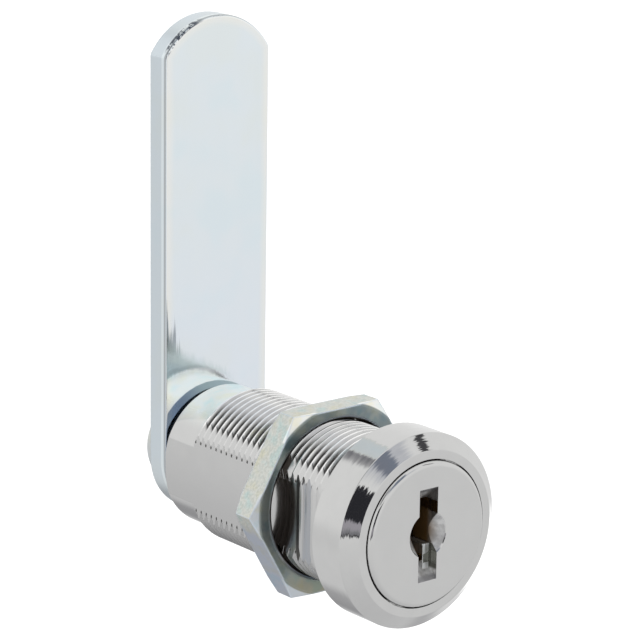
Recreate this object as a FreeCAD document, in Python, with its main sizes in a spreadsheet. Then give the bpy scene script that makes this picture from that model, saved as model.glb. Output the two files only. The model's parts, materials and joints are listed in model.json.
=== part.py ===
import FreeCAD, Part
import math
import os
from types import SimpleNamespace
import Sketcher

# A wafer cam lock, key side towards -Y and cam side towards +Y.
# The origin is on the lock's axis, in the plane where the head seats on the panel.

# Driving sizes in millimetres, angles in degrees.
SIZES = {
    # Head of the housing, seen from the key side.
    "head_length": 6.3,
    "ring_width": 1.05,
    "head_bevel_width": 1.7,
    "head_bevel_length": 1.37,
    "head_edge": 0.12,
    "bezel_gap": 0.15,
    "recess_depth": 2.6,
    "seat_edge": 0.2,
    # Threaded barrel of the housing.
    "barrel_wall": 2.9,
    "flat_wall": 1.95,
    "thread_depth": 0.55,
    "thread_pitch": 1.0,
    "thread_land": 0.16,
    "barrel_length": 32.3,
    "tip_length": 5.6,
    "tip_step": 0.2,
    "tip_edge": 0.65,
    "ridge_zone": 6.9,
    "ridge_height": 0.35,
    "ridge_rise": 0.15,
    "ridge_land": 0.4,
    # Bore of the housing and the channels that the wafers lock into.
    "plug_clearance": 0.05,
    "channel_room": 0.2,
    # Plug.
    "plug_radius": 6.0,
    "plug_flange": 2.6,
    "plug_proud": 0.5,
    "plug_rim": 0.6,
    "end_play": 0.05,
    "keyway_width": 2.75,
    "keyway_wall": 2.3,
    "keyway_spare": 1.65,
    "mouth_rise": 1.8,
    "mouth_depth": 2.1,
    "ward_width": 1.1,
    "ward_top": 1.5,
    "ward_front": 1.2,
    "ward_setback": 0.2,
    "cone_radius": 2.75,
    "cone_depth": 3.1,
    # Wafers and their springs.
    "wafer_setback": 1.55,
    "wafer_pitch": 2.3,
    "wafer_thickness": 0.8,
    "wafer_wall": 1.05,
    "wafer_slack": 0.05,
    "wafer_end_gap": 0.1,
    "wafer_travel": 0.9,
    "window_room": 0.175,
    "cut_margin": 0.5,
    "cut_step": 0.4,
    "ear_height": 1.2,
    "spring_radius": 0.55,
    "spring_wire": 0.12,
    "spring_pitch": 0.5,
    "pocket_room": 0.11,
    "pocket_gap": 0.07,
    "pocket_wall": 0.4,
    # Retaining clip in its groove at the rear of the plug.
    "clip_thickness": 0.8,
    "clip_setback": 0.5,
    "clip_height": 0.8,
    "clip_groove_depth": 0.7,
    "clip_opening": 6.0,
    "clip_slack": 0.05,
    "clip_room": 0.3,
    # Stop washer, and the two lugs on the housing that end the turn.
    "stop_overlap": 1.2,
    "stop_thickness": 0.4,
    "stop_tab_angle": 28.0,
    "lug_start_angle": 40.0,
    "lug_angle": 15.0,
    "lug_inset": 0.05,
    "lug_room": 0.25,
    "lug_gap": 0.1,
    "turn_angle": 90.0,
    "stop_gap_angle": 1.0,
    # Cam and the square that drives it.
    "square_across": 8.0,
    "square_slack": 0.05,
    "square_short": 0.3,
    "cam_thickness": 3.0,
    "cam_width": 15.45,
    "cam_reach": 54.0,
    "cam_tip_extra": 1.275,
    "cam_edge": 0.3,
    "cam_corner": 0.8,
    # Lock washer and cam screw.
    "washer_inset": 0.05,
    "washer_gap": 0.15,
    "washer_thickness": 1.6,
    "washer_split": 0.7,
    "washer_slant": 0.4,
    "screw_radius": 2.95,
    "screw_length": 14.0,
    "screw_slack": 0.05,
    "screw_head_radius": 5.65,
    "screw_head_side": 2.0,
    "screw_head_height": 4.9,
    "screw_edge": 0.5,
    "cross_length": 6.4,
    "cross_width": 1.3,
    "cross_depth": 2.6,
    # Hexagon nut that clamps the panel.
    "nut_wall": 1.5,
    "nut_thickness": 3.45,
    "nut_place": 9.3,
    "nut_clearance": 0.08,
    "nut_front_width": 1.35,
    "nut_front_bevel": 0.5,
    "nut_back_width": 1.0,
    "nut_back_bevel": 0.45,
    "nut_mouth": 0.15,
}

WAFER_CUTS = (1, 3, 0, 2, 3, 1, 2, 0)  # depth code of each wafer, counted from the key side
FULL_TURN = 360.0
HALF_TURN = 180.0
BEYOND = 1.0  # how far a cutting outline runs past the surface it cuts
NEAR = 1e-3  # how close an edge lies to the place where it is looked for
CREST_SPARE = 0.25  # how far the thread cutter passes the crest, in crest widths


class Size:
    """A value together with the expression that gives it from the sheet."""

    def __init__(self, value, text):
        self.value = float(value)
        self.text = text

    def __add__(self, other):
        other = as_size(other)
        return Size(self.value + other.value, f"({self.text} + {other.text})")

    def __sub__(self, other):
        other = as_size(other)
        return Size(self.value - other.value, f"({self.text} - {other.text})")

    def __mul__(self, other):
        other = as_size(other)
        return Size(self.value * other.value, f"({self.text} * {other.text})")

    def __truediv__(self, other):
        other = as_size(other)
        return Size(self.value / other.value, f"({self.text} / {other.text})")

    def __radd__(self, other):
        return as_size(other) + self

    def __rsub__(self, other):
        return as_size(other) - self

    def __rmul__(self, other):
        return as_size(other) * self

    def __neg__(self):
        return Size(-self.value, f"(0 - {self.text})")


def as_size(number):
    return number if isinstance(number, Size) else Size(number, repr(float(number)))


def other_side(longest, side):
    """Third side of a right-angled triangle."""
    square = longest * longest - side * side
    return Size(math.sqrt(square.value), f"sqrt({square.text})")


def polar(radius, angle):
    """Point at an angle counted from +Z towards +X, in an XZ sketch."""
    angle = as_size(angle)
    side = Size(math.sin(math.radians(angle.value)), f"sin({angle.text} * 1 deg)")
    rise = Size(math.cos(math.radians(angle.value)), f"cos({angle.text} * 1 deg)")
    return radius * side, radius * rise


doc = FreeCAD.newDocument("cam_lock")
sheet = doc.addObject("Spreadsheet::Sheet", "Sizes")
for row, (alias, number) in enumerate(SIZES.items(), start=1):
    sheet.set(f"A{row}", str(number))
    sheet.setAlias(f"A{row}", alias)
doc.recompute()
size = SimpleNamespace(**{alias: Size(number, f"Sizes.{alias}") for alias, number in SIZES.items()})

# Radii, from the bore of the housing outwards.
bore_radius = size.plug_radius + size.plug_clearance
channel_radius = size.plug_radius - size.wafer_end_gap + size.wafer_travel + size.channel_room
root_radius = bore_radius + size.barrel_wall
thread_radius = root_radius + size.thread_depth
plug_face_radius = size.plug_radius + size.plug_flange
bezel_radius = plug_face_radius + size.bezel_gap
face_ring_radius = bezel_radius + size.ring_width
head_radius = face_ring_radius + size.head_bevel_width
clip_radius = size.plug_radius + size.clip_height
clip_bore_radius = clip_radius + size.clip_room
clip_groove_radius = size.plug_radius - size.clip_groove_depth
stop_radius = size.plug_radius + size.stop_overlap
tip_radius = root_radius - size.tip_step
tip_end_radius = tip_radius - size.tip_edge
lug_outer_radius = tip_end_radius - size.lug_inset

# Places along the lock's axis, from the key side to the rear.
face_front = -(size.head_length + size.plug_proud)
recess_floor = size.recess_depth - size.head_length
disc_back = recess_floor - size.end_play
thread_end = size.barrel_length - size.tip_length
clip_front = size.barrel_length - size.clip_setback - size.clip_thickness
plug_shoulder = size.barrel_length + size.end_play
cam_front = plug_shoulder + size.stop_thickness
cam_back = cam_front + size.cam_thickness
screw_seat = cam_back + size.washer_thickness

# Key path, wafers and spring pockets.
keyway_half = size.plug_radius - size.keyway_wall
window_half = size.keyway_width / 2 + size.window_room
wafer_half = window_half + size.wafer_wall
slot_half = wafer_half + size.wafer_slack
slot_length = size.wafer_thickness + size.wafer_slack * 2
pocket_radius = size.spring_radius + size.spring_wire + size.pocket_room
spring_place = slot_half + size.pocket_gap + pocket_radius
pocket_side = spring_place + pocket_radius
pocket_depth = other_side(size.plug_radius - size.pocket_wall, pocket_side)
ear_reach = pocket_side + size.wafer_slack
stop_tab_start = size.lug_start_angle + size.lug_angle + size.stop_gap_angle


def bind(feature, name, value):
    feature.setExpression(name, as_size(value).text)


def new_body(label):
    body = doc.addObject("PartDesign::Body", label)
    body.Label = label
    return body


def origin_item(body, role):
    return next(item for item in body.Origin.OriginFeatures if item.Role == role)


def new_sketch(body, name, plane, offset=None):
    """Sketch on one of the body's own planes, moved along the plane's normal by offset."""
    sketch = body.newObject("Sketcher::SketchObject", name)
    sketch.AttachmentSupport = [(origin_item(body, plane), "")]
    sketch.MapMode = "FlatFace"
    if offset is not None:
        bind(sketch, "AttachmentOffset.Base.z", offset)
    return sketch


def locate(sketch, curve, point, x, y):
    """Place a point of a curve at x, y from the sketch's origin; None leaves that direction free."""
    for kind, axis, value in (("DistanceX", -2, x), ("DistanceY", -1, y)):
        if value is None:
            continue
        if not isinstance(value, Size) and value == 0:
            sketch.addConstraint(Sketcher.Constraint("PointOnObject", curve, point, axis))
            continue
        value = as_size(value)
        rule = Sketcher.Constraint(kind, -1, 1, curve, point, value.value)
        number = sketch.addConstraint(rule)
        sketch.setExpression(f"Constraints[{number}]", value.text)


def flat_point(x, y):
    return FreeCAD.Vector(as_size(x).value, as_size(y).value, 0)


def draw_outline(sketch, corners, arcs=None, free=None):
    """Closed anticlockwise outline.

    arcs gives an edge's centre and radius by its number, and free names the
    direction, "x" or "y", in which an arc's radius places a corner.
    """
    arcs = arcs or {}
    free = free or {}
    first = sketch.GeometryCount
    count = len(corners)
    for edge in range(count):
        start = flat_point(*corners[edge])
        end = flat_point(*corners[(edge + 1) % count])
        if edge in arcs:
            x, y, radius = arcs[edge]
            centre = flat_point(x, y)
            from_angle = math.atan2(start.y - centre.y, start.x - centre.x)
            to_angle = math.atan2(end.y - centre.y, end.x - centre.x)
            if to_angle <= from_angle:
                to_angle += 2 * math.pi
            circle = Part.Circle(centre, FreeCAD.Vector(0, 0, 1), as_size(radius).value)
            sketch.addGeometry(Part.ArcOfCircle(circle, from_angle, to_angle))
        else:
            sketch.addGeometry(Part.LineSegment(start, end))
    for edge in range(count):
        following = first + (edge + 1) % count
        sketch.addConstraint(Sketcher.Constraint("Coincident", first + edge, 2, following, 1))
    for edge, (x, y) in enumerate(corners):
        x = None if free.get(edge) == "x" else x
        y = None if free.get(edge) == "y" else y
        locate(sketch, first + edge, 1, x, y)
    for edge, (x, y, radius) in arcs.items():
        locate(sketch, first + edge, 3, x, y)
        set_radius(sketch, first + edge, radius)


def set_radius(sketch, curve, radius):
    radius = as_size(radius)
    number = sketch.addConstraint(Sketcher.Constraint("Radius", curve, radius.value))
    sketch.setExpression(f"Constraints[{number}]", radius.text)


def draw_circle(sketch, radius, x=0, y=0):
    circle = Part.Circle(flat_point(x, y), FreeCAD.Vector(0, 0, 1), as_size(radius).value)
    curve = sketch.addGeometry(circle)
    locate(sketch, curve, 3, x, y)
    set_radius(sketch, curve, radius)


def draw_box(sketch, x_low, x_high, y_low, y_high):
    draw_outline(sketch, [(x_low, y_low), (x_high, y_low), (x_high, y_high), (x_low, y_high)])


def finish_feature(body, feature, before):
    """Recompute, and stop if a cut removed nothing or an added form added nothing."""
    doc.recompute()
    if not feature.isValid() or feature.Shape.isNull():
        raise RuntimeError(f"{body.Label}: {feature.Name} failed")
    change = feature.Shape.Volume - before
    grows = feature.TypeId in ("PartDesign::Pad", "PartDesign::Revolution", "PartDesign::AdditiveHelix")
    if (grows and change <= 0) or (not grows and change >= 0):
        raise RuntimeError(f"{body.Label}: {feature.Name} changed nothing")
    return feature


def volume_of(body):
    return 0.0 if body.Tip is None else body.Tip.Shape.Volume


def extrude(body, kind, name, sketch, length, reverse=False, symmetric=False):
    before = volume_of(body)
    feature = body.newObject(f"PartDesign::{kind}", name)
    feature.Profile = sketch
    bind(feature, "Length", length)
    feature.Reversed = reverse
    if symmetric:
        feature.SideType = "Symmetric"
    return finish_feature(body, feature, before)


def turn(body, kind, name, sketch):
    """Full turn of a sketch about its own vertical axis."""
    before = volume_of(body)
    feature = body.newObject(f"PartDesign::{kind}", name)
    feature.Profile = sketch
    feature.ReferenceAxis = (sketch, ["V_Axis"])
    feature.Angle = FULL_TURN
    return finish_feature(body, feature, before)


def wind(body, kind, name, sketch, axis, pitch, height, reverse=False):
    before = volume_of(body)
    feature = body.newObject(f"PartDesign::{kind}", name)
    feature.Profile = sketch
    feature.ReferenceAxis = (origin_item(body, axis), [""])
    feature.Mode = "pitch-height-angle"
    bind(feature, "Pitch", pitch)
    bind(feature, "Height", height)
    feature.Reversed = reverse
    return finish_feature(body, feature, before)


def repeat(body, name, features, direction, spacing, count):
    """Row of copies along one of the body's axes."""
    before = volume_of(body)
    pattern = body.newObject("PartDesign::LinearPattern", name)
    pattern.Originals = features
    pattern.Direction = (origin_item(body, direction), [""])
    bind(pattern, "Length", spacing * (count - 1))
    pattern.Occurrences = count
    body.Tip = pattern
    return finish_feature(body, pattern, before)


def soften(body, kind, name, amount, wanted):
    """Fillet or chamfer of the edges for which wanted(edge) is true."""
    base = body.Tip
    before = base.Shape.Volume
    names = [f"Edge{i}" for i, edge in enumerate(base.Shape.Edges, start=1) if wanted(edge)]
    if not names:
        raise RuntimeError(f"{body.Label}: {name} found no edge")
    feature = body.newObject(f"PartDesign::{kind}", name)
    feature.Base = (base, names)
    bind(feature, "Radius" if kind == "Fillet" else "Size", amount)
    doc.recompute()
    if not feature.isValid() or feature.Shape.Volume == before:
        raise RuntimeError(f"{body.Label}: {name} failed")
    return feature


def ring_edge(radius, y):
    """Test for a full circle of this radius about the lock's axis at this y."""
    def wanted(edge):
        if edge.Degenerated or not isinstance(edge.Curve, Part.Circle):
            return False
        curve = edge.Curve
        return abs(curve.Radius - radius.value) < NEAR and abs(curve.Center.y - y.value) < NEAR
    return wanted


def make_housing():
    body = new_body("housing")
    doc.recompute()
    casting = new_sketch(body, "casting_outline", "XY_Plane")
    clip_floor = clip_front - size.end_play
    draw_outline(casting, [
        (bore_radius, recess_floor),
        (bezel_radius, recess_floor),
        (bezel_radius, -size.head_length),
        (face_ring_radius, -size.head_length),
        (head_radius, size.head_bevel_length - size.head_length),
        (head_radius, -size.seat_edge),
        (head_radius - size.seat_edge, 0),
        (thread_radius, 0),
        (thread_radius, thread_end - size.thread_depth - size.tip_step),
        (tip_radius, thread_end),
        (tip_radius, size.barrel_length - size.tip_edge),
        (tip_end_radius, size.barrel_length),
        (clip_bore_radius, size.barrel_length),
        (clip_bore_radius, clip_floor),
        (bore_radius, clip_floor),
    ])
    turn(body, "Revolution", "casting", casting)
    ring_corner = ring_edge(face_ring_radius, -size.head_length)
    bevel_corner = ring_edge(head_radius, size.head_bevel_length - size.head_length)
    soften(body, "Fillet", "head_edges", size.head_edge,
           lambda edge: ring_corner(edge) or bevel_corner(edge))

    channel = new_sketch(body, "channel_outline", "XZ_Plane", -recess_floor)
    channel_half = wafer_half + size.channel_room
    draw_box(channel, -channel_half, channel_half, -channel_radius, channel_radius)
    extrude(body, "Pocket", "wafer_channels", channel, size.barrel_length - recess_floor)

    second_lug = stop_tab_start + size.stop_tab_angle + size.turn_angle + size.stop_gap_angle
    lug_height = cam_front - size.barrel_length - size.lug_gap
    lugs = new_sketch(body, "lug_outline", "XZ_Plane", -(size.barrel_length + lug_height))
    for start in (size.lug_start_angle, second_lug):
        draw_sector(lugs, stop_radius + size.lug_room, lug_outer_radius, start, size.lug_angle)
    extrude(body, "Pad", "stop_lugs", lugs, lug_height)

    thread_start = thread_end + size.thread_pitch
    cut_thread(body, root_radius, thread_radius, thread_start, thread_end)
    flats = new_sketch(body, "flat_outlines", "XY_Plane")
    draw_outline(flats, flat_corners(1))
    draw_outline(flats, flat_corners(-1))
    extrude(body, "Pocket", "flats", flats, head_radius * 2, symmetric=True)
    return body


def draw_sector(sketch, inner, outer, start, span):
    """Four-cornered lug between two radii, from one angle over a span."""
    end = start + span
    draw_outline(sketch, [polar(inner, start), polar(inner, end), polar(outer, end),
                          polar(outer, start)])


def cut_thread(body, floor, mouth, start, run):
    """Right-hand screw thread wound forward from start.

    The groove is narrow at the floor's radius and opens towards the mouth's radius,
    which lies outside the floor on a screw and inside it in a nut.
    """
    profile = new_sketch(body, "thread_groove", "XY_Plane")
    outward = 1 if mouth.value > floor.value else -1
    floor_half = size.thread_land / 2
    mouth_half = (size.thread_pitch - size.thread_land) / 2
    spare = size.thread_land * CREST_SPARE
    slope = (mouth_half - floor_half) / size.thread_depth
    clear = mouth + spare / slope * outward
    corners = [
        (floor, start + floor_half),
        (floor, start - floor_half),
        (clear, start - mouth_half - spare),
        (clear, start + mouth_half + spare),
    ]
    draw_outline(profile, corners if outward > 0 else corners[::-1])
    turns = math.floor(run.value / size.thread_pitch.value)
    wind(body, "SubtractiveHelix", "thread", profile, "Y_Axis", size.thread_pitch,
         size.thread_pitch * turns, reverse=True)


def flat_corners(side):
    """Outline cut away beside one flat; near the head the thread leaves low ridges across it."""
    flat = bore_radius + size.flat_wall
    crest = flat + size.ridge_height
    outside = head_radius + BEYOND
    far_end = size.barrel_length + BEYOND
    last_groove = thread_end + (size.thread_pitch if side > 0 else size.thread_pitch / 2)
    corners = [(outside, 0), (outside, far_end), (flat, far_end)]
    total = math.floor(last_groove.value / size.thread_pitch.value)
    for step in range(total):
        groove = last_groove - size.thread_pitch * step
        if groove.value > size.ridge_zone.value or groove.value < size.thread_pitch.value / 2:
            continue
        corners.append((flat, groove))
        corners.append((crest, groove - size.ridge_rise))
        corners.append((crest, groove - size.ridge_rise - size.ridge_land))
    corners.append((crest, 0))
    if side < 0:
        corners = [(-x, y) for x, y in reversed(corners)]
    return corners


def make_plug():
    body = new_body("plug")
    doc.recompute()
    blank = new_sketch(body, "plug_outline", "XY_Plane")
    draw_outline(blank, [
        (0, face_front),
        (plug_face_radius, face_front),
        (plug_face_radius, disc_back),
        (size.plug_radius, disc_back),
        (size.plug_radius, plug_shoulder),
        (0, plug_shoulder),
    ])
    turn(body, "Revolution", "blank", blank)
    soften(body, "Fillet", "face_rim", size.plug_rim, ring_edge(plug_face_radius, face_front))

    square = new_sketch(body, "square_outline", "XZ_Plane", -(cam_back - size.square_short))
    half = size.square_across / 2
    draw_box(square, -half, half, -half, half)
    extrude(body, "Pad", "drive_square", square, cam_back - size.square_short - plug_shoulder)

    groove = new_sketch(body, "clip_groove_outline", "XY_Plane")
    draw_box(groove, clip_groove_radius, size.plug_radius + BEYOND,
             clip_front - size.clip_slack / 2, clip_front + size.clip_thickness + size.clip_slack / 2)
    turn(body, "Groove", "clip_groove", groove)

    hole_end = screw_seat - size.screw_length - BEYOND
    screw_hole = new_sketch(body, "screw_hole_outline", "XZ_Plane", -hole_end)
    draw_circle(screw_hole, size.screw_radius + size.screw_slack)
    extrude(body, "Pocket", "screw_hole", screw_hole, size.screw_length + BEYOND)

    keyway = new_sketch(body, "keyway_outline", "YZ_Plane")
    keyway_end = wafer_y(len(WAFER_CUTS) - 1) + slot_length / 2 + size.keyway_spare
    draw_box(keyway, face_front - BEYOND, keyway_end, -keyway_half, keyway_half)
    extrude(body, "Pocket", "keyway", keyway, size.keyway_width, symmetric=True)

    mouth = new_sketch(body, "keyway_mouth_outline", "YZ_Plane")
    mouth_half = keyway_half + size.mouth_rise
    wide = mouth_half + size.mouth_rise / size.mouth_depth * BEYOND
    mouth_end = face_front + size.mouth_depth
    draw_outline(mouth, [(face_front - BEYOND, -wide), (mouth_end, -keyway_half),
                         (mouth_end, keyway_half), (face_front - BEYOND, wide)])
    extrude(body, "Pocket", "keyway_mouth", mouth, size.keyway_width, symmetric=True)

    ward_back = wafer_y(0) - slot_length / 2 - size.ward_setback
    ward = new_sketch(body, "ward_outline", "XZ_Plane", -ward_back)
    ward_side = size.keyway_width / 2 - size.ward_width
    draw_box(ward, ward_side, size.keyway_width / 2, -mouth_half, -size.ward_top)
    extrude(body, "Pad", "ward", ward, ward_back - face_front - size.ward_front)

    cone = new_sketch(body, "key_guide_outline", "XY_Plane")
    flare = size.cone_radius / size.cone_depth * BEYOND
    draw_outline(cone, [
        (0, face_front - BEYOND),
        (size.cone_radius + flare, face_front - BEYOND),
        (0, face_front + size.cone_depth),
    ])
    turn(body, "Groove", "key_guide", cone)

    cut_wafer_slots(body, "upper", 1, 0, (len(WAFER_CUTS) + 1) // 2)
    cut_wafer_slots(body, "lower", -1, 1, len(WAFER_CUTS) // 2)
    return body


def wafer_y(index):
    return disc_back + size.wafer_setback + size.wafer_pitch * index


def cut_wafer_slots(body, name, side, index, count):
    """Slots of the wafers that spring to one side, with the pockets of their springs."""
    middle = wafer_y(index)
    low, high = middle - slot_length / 2, middle + slot_length / 2
    slot = new_sketch(body, f"{name}_slot_outline", "XY_Plane")
    draw_box(slot, -slot_half, slot_half, low, high)
    through = extrude(body, "Pocket", f"{name}_slot", slot, plug_face_radius * 2, symmetric=True)

    ear_floor = -(size.ear_height / 2 + size.wafer_slack)
    ear_side = ear_reach + size.wafer_slack
    ear = new_sketch(body, f"{name}_ear_outline", "XY_Plane", ear_floor * side)
    inner, outer = (0, ear_side) if side > 0 else (-ear_side, 0)
    draw_box(ear, inner, outer, low, high)
    ear_slot = extrude(body, "Pocket", f"{name}_ear_slot", ear, plug_face_radius, reverse=side > 0)

    pocket = new_sketch(body, f"{name}_pocket_outline", "XY_Plane", -pocket_depth * side)
    draw_circle(pocket, pocket_radius, spring_place * side, middle)
    spring_pocket = extrude(body, "Pocket", f"{name}_spring_pocket", pocket,
                            pocket_depth + plug_face_radius, reverse=side > 0)
    repeat(body, f"{name}_slots", [through, ear_slot, spring_pocket], "Y_Axis",
           size.wafer_pitch * 2, count)


def make_wafer(index):
    """Flat wafer whose window edge is set by its cut, turned over when it springs down."""
    body = new_body(f"wafer_{index + 1}")
    doc.recompute()
    end_radius = size.plug_radius - size.wafer_end_gap
    shoulder = other_side(end_radius, wafer_half)
    ear = size.ear_height / 2
    plate = new_sketch(body, "wafer_outline", "XZ_Plane", -size.wafer_thickness / 2)
    draw_outline(
        plate,
        [
            (-wafer_half, -shoulder),
            (wafer_half, -shoulder),
            (wafer_half, -ear),
            (ear_reach, -ear),
            (ear_reach, ear),
            (wafer_half, ear),
            (wafer_half, shoulder),
            (-wafer_half, shoulder),
        ],
        arcs={0: (0, 0, end_radius), 6: (0, 0, end_radius)},
        free={0: "y", 1: "y", 6: "y", 7: "y"},
    )
    extrude(body, "Pad", "plate", plate, size.wafer_thickness)

    window = new_sketch(body, "window_outline", "XZ_Plane", size.wafer_thickness)
    cut_edge = keyway_half - size.cut_margin - size.cut_step * WAFER_CUTS[index]
    draw_box(window, -window_half, window_half, -cut_edge, keyway_half + size.wafer_slack)
    extrude(body, "Pocket", "window", window, size.wafer_thickness * 2)
    place_by_wafer(body, index, 0, 0)
    return body


def place_by_wafer(body, index, x, z):
    """Place a piece at its wafer; every second wafer is turned over about the lock's axis."""
    side = 1 if index % 2 == 0 else -1
    body.Placement.Rotation = FreeCAD.Rotation(FreeCAD.Vector(0, 1, 0), 0 if side > 0 else HALF_TURN)
    bind(body, "Placement.Base.x", as_size(x) * side)
    bind(body, "Placement.Base.y", wafer_y(index))
    bind(body, "Placement.Base.z", as_size(z) * side)
    doc.recompute()


def make_wafer_spring(index):
    """Coil spring between the floor of its pocket and the wafer's ear."""
    body = new_body(f"wafer_spring_{index + 1}")
    doc.recompute()
    wire = new_sketch(body, "wire_section", "XZ_Plane")
    draw_circle(wire, size.spring_wire, size.spring_radius, 0)
    room = pocket_depth - size.ear_height / 2
    coil_height = room - size.spring_wire * 2 - size.wafer_slack * 2
    wind(body, "AdditiveHelix", "coil", wire, "Z_Axis", size.spring_pitch, coil_height)
    place_by_wafer(body, index, spring_place, size.spring_wire + size.wafer_slack - pocket_depth)
    return body


def make_retaining_clip():
    body = new_body("retaining_clip")
    doc.recompute()
    ring = new_sketch(body, "clip_outline", "XZ_Plane", -(clip_front + size.clip_thickness))
    draw_circle(ring, clip_radius)
    draw_circle(ring, clip_groove_radius + size.clip_slack)
    extrude(body, "Pad", "ring", ring, size.clip_thickness)
    gap = new_sketch(body, "opening_outline", "XZ_Plane", -(clip_front - BEYOND))
    draw_box(gap, -size.clip_opening / 2, size.clip_opening / 2, -(clip_radius + BEYOND), 0)
    extrude(body, "Pocket", "opening", gap, size.clip_thickness + BEYOND * 2)
    return body


def cut_square_hole(body, front, thickness):
    hole = new_sketch(body, "square_hole_outline", "XZ_Plane", -(front - BEYOND))
    half = size.square_across / 2 + size.square_slack
    draw_box(hole, -half, half, -half, half)
    extrude(body, "Pocket", "square_hole", hole, thickness + BEYOND * 2)


def make_stop_washer():
    body = new_body("stop_washer")
    doc.recompute()
    disc = new_sketch(body, "disc_outline", "XZ_Plane", -cam_front)
    draw_circle(disc, stop_radius)
    extrude(body, "Pad", "disc", disc, size.stop_thickness)
    tab = new_sketch(body, "tab_outline", "XZ_Plane", -cam_front)
    draw_sector(tab, size.plug_radius, lug_outer_radius - size.lug_room, stop_tab_start,
                size.stop_tab_angle)
    extrude(body, "Pad", "tab", tab, size.stop_thickness)
    cut_square_hole(body, plug_shoulder, size.stop_thickness)
    return body


def make_cam():
    """Straight cam: a round end about the lock's axis and a blunt rounded tip."""
    body = new_body("cam")
    doc.recompute()
    half = size.cam_width / 2
    tip_radius = half + size.cam_tip_extra
    tip_centre = size.cam_reach - tip_radius
    tip_side = tip_centre + other_side(tip_radius, half)
    plate = new_sketch(body, "cam_outline", "XZ_Plane", -cam_back)
    draw_outline(
        plate,
        [(-half, 0), (half, 0), (half, tip_side), (-half, tip_side)],
        arcs={0: (0, 0, half), 2: (0, tip_centre, tip_radius)},
        free={0: "x", 1: "x", 2: "y", 3: "y"},
    )
    extrude(body, "Pad", "plate", plate, size.cam_thickness)

    def tip_corner(edge):
        ends = [vertex.Point for vertex in edge.Vertexes]
        upright = abs(ends[0].y - ends[-1].y) > NEAR
        return upright and min(point.z for point in ends) > size.cam_reach.value / 2

    def front_edge(edge):
        return all(abs(vertex.Y - cam_front.value) < NEAR for vertex in edge.Vertexes)

    soften(body, "Fillet", "tip_corners", size.cam_corner, tip_corner)
    soften(body, "Fillet", "sheared_edge", size.cam_edge, front_edge)
    cut_square_hole(body, cam_front, size.cam_thickness)
    return body


def make_lock_washer():
    """Split spring washer under the screw's head."""
    body = new_body("lock_washer")
    doc.recompute()
    ring = new_sketch(body, "washer_outline", "XZ_Plane", -screw_seat)
    washer_radius = size.screw_head_radius - size.washer_inset
    draw_circle(ring, washer_radius)
    draw_circle(ring, size.screw_radius + size.washer_gap)
    extrude(body, "Pad", "ring", ring, size.washer_thickness)
    split = new_sketch(body, "split_outline", "XY_Plane")
    slant, half = size.washer_slant, size.washer_split / 2
    low, high = cam_back - BEYOND, screw_seat + BEYOND
    draw_outline(split, [(-half - slant, low), (half - slant, low), (half + slant, high),
                         (slant - half, high)])
    extrude(body, "Pocket", "split", split, washer_radius + BEYOND)
    return body


def make_cam_screw():
    """Domed screw with a cross recess; its shank goes down the middle of the plug."""
    body = new_body("cam_screw")
    doc.recompute()
    shape = new_sketch(body, "screw_outline", "XY_Plane")
    head_side = screw_seat + size.screw_head_side
    head_top = screw_seat + size.screw_head_height
    shank_end = screw_seat - size.screw_length
    rise = size.screw_head_height - size.screw_head_side
    dome = (size.screw_head_radius * size.screw_head_radius + rise * rise) / (rise * 2)
    draw_outline(
        shape,
        [
            (0, shank_end),
            (size.screw_radius - size.screw_edge, shank_end),
            (size.screw_radius, shank_end + size.screw_edge),
            (size.screw_radius, screw_seat),
            (size.screw_head_radius, screw_seat),
            (size.screw_head_radius, head_side),
            (0, head_top),
        ],
        arcs={5: (0, head_top - dome, dome)},
        free={5: "y", 6: "y"},
    )
    turn(body, "Revolution", "screw", shape)
    soften(body, "Fillet", "head_shoulder", size.screw_edge,
           ring_edge(size.screw_head_radius, head_side))
    for name, across, along in (("first_slot", size.cross_width, size.cross_length),
                                ("second_slot", size.cross_length, size.cross_width)):
        slot = new_sketch(body, f"{name}_outline", "XZ_Plane", -(head_top - size.cross_depth))
        draw_box(slot, -across / 2, across / 2, -along / 2, along / 2)
        extrude(body, "Pocket", name, slot, size.cross_depth + BEYOND)
    return body


def make_hex_nut():
    """Thin hexagon nut, corners to the sides, bevelled on both faces."""
    body = new_body("hex_nut")
    doc.recompute()
    front = size.nut_place
    back = front + size.nut_thickness
    half = thread_radius + size.nut_wall
    corner = half * 2 / math.sqrt(3)
    hexagon = new_sketch(body, "hexagon_outline", "XZ_Plane", -back)
    draw_outline(hexagon, [(corner, 0), (corner / 2, half), (-corner / 2, half), (-corner, 0),
                           (-corner / 2, -half), (corner / 2, -half)])
    extrude(body, "Pad", "hexagon", hexagon, size.nut_thickness)

    outside = corner + BEYOND
    for name, face, inward, width, depth in (
            ("front_bevel", front, 1, size.nut_front_width, size.nut_front_bevel),
            ("back_bevel", back, -1, size.nut_back_width, size.nut_back_bevel)):
        start = corner - width
        slope = depth / width
        lift = face - slope * BEYOND * inward
        bevel = new_sketch(body, f"{name}_outline", "XY_Plane")
        corners = [
            (start - BEYOND, lift),
            (outside, lift),
            (outside, face + slope * (width + BEYOND) * inward),
        ]
        draw_outline(bevel, corners if inward > 0 else corners[::-1])
        turn(body, "Groove", name, bevel)

    bore = thread_radius + size.nut_clearance
    hole = new_sketch(body, "bore_outline", "XY_Plane")
    draw_outline(hole, [
        (0, front - BEYOND),
        (bore + size.nut_mouth + BEYOND, front - BEYOND),
        (bore, front + size.nut_mouth),
        (bore, back - size.nut_mouth),
        (bore + size.nut_mouth + BEYOND, back + BEYOND),
        (0, back + BEYOND),
    ])
    turn(body, "Groove", "bore", hole)
    cut_thread(body, bore + size.thread_depth, bore, back + size.thread_pitch,
               size.nut_thickness + size.thread_pitch * 2)
    return body


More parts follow.
